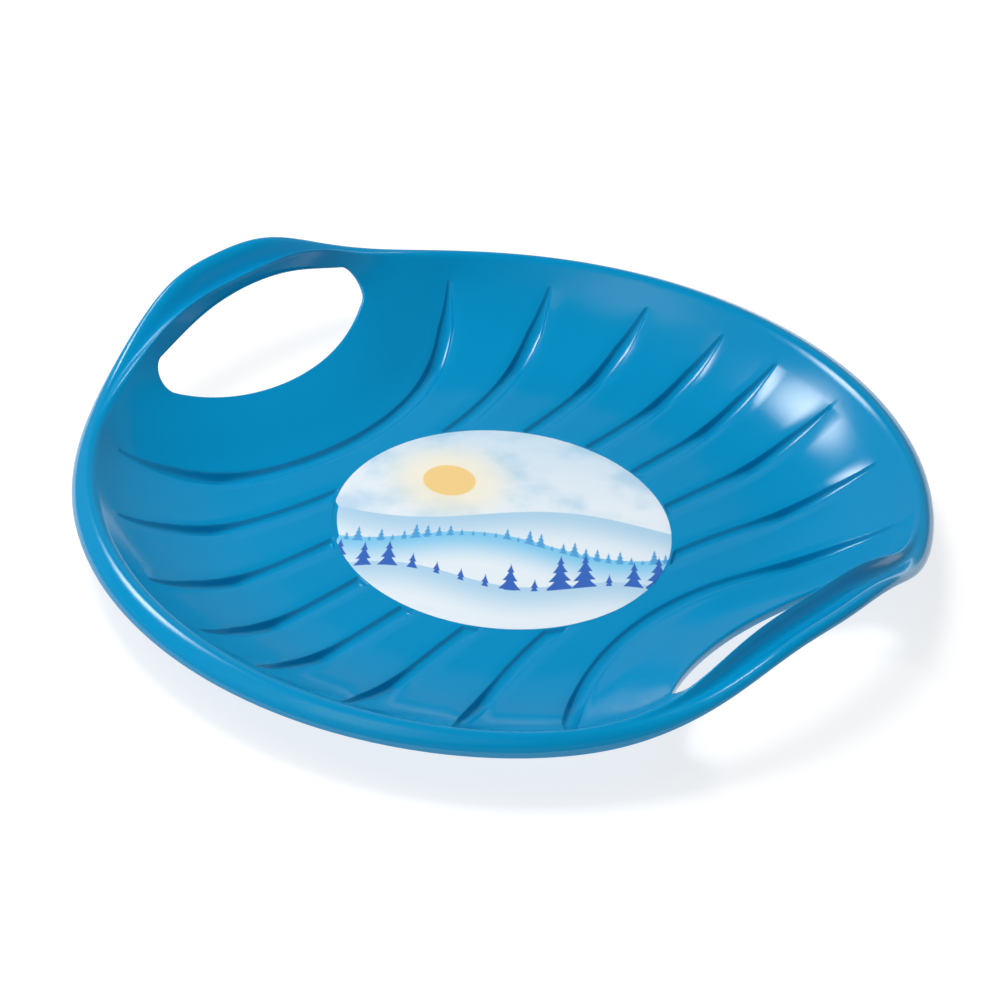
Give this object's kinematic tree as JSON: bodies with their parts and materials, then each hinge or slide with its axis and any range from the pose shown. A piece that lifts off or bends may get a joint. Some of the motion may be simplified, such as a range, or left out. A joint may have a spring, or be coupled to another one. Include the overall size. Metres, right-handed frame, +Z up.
{
  "type": "saucer sled",
  "caption": "Round dished snow sled moulded in one piece, with a hand hole in each raised side, fanned grooves over runners underneath, and a round film label in the floor.",
  "frame": {"origin": "middle of the sled, on the ground that its runners stand on", "axes": "+Z up, X through the two hand holes, Y the way the sled slides"},
  "size_m": [0.5718, 0.595, 0.0935],
  "materials": {
    "moulded_polypropylene": "glossy injection-moulded blue polypropylene",
    "printed_film": "printed film with a clear coat"
  },
  "bodies": {
    "root": {"saucer_shell": "moulded_polypropylene", "centre_label": "printed_film"}
  },
  "joints": []
}
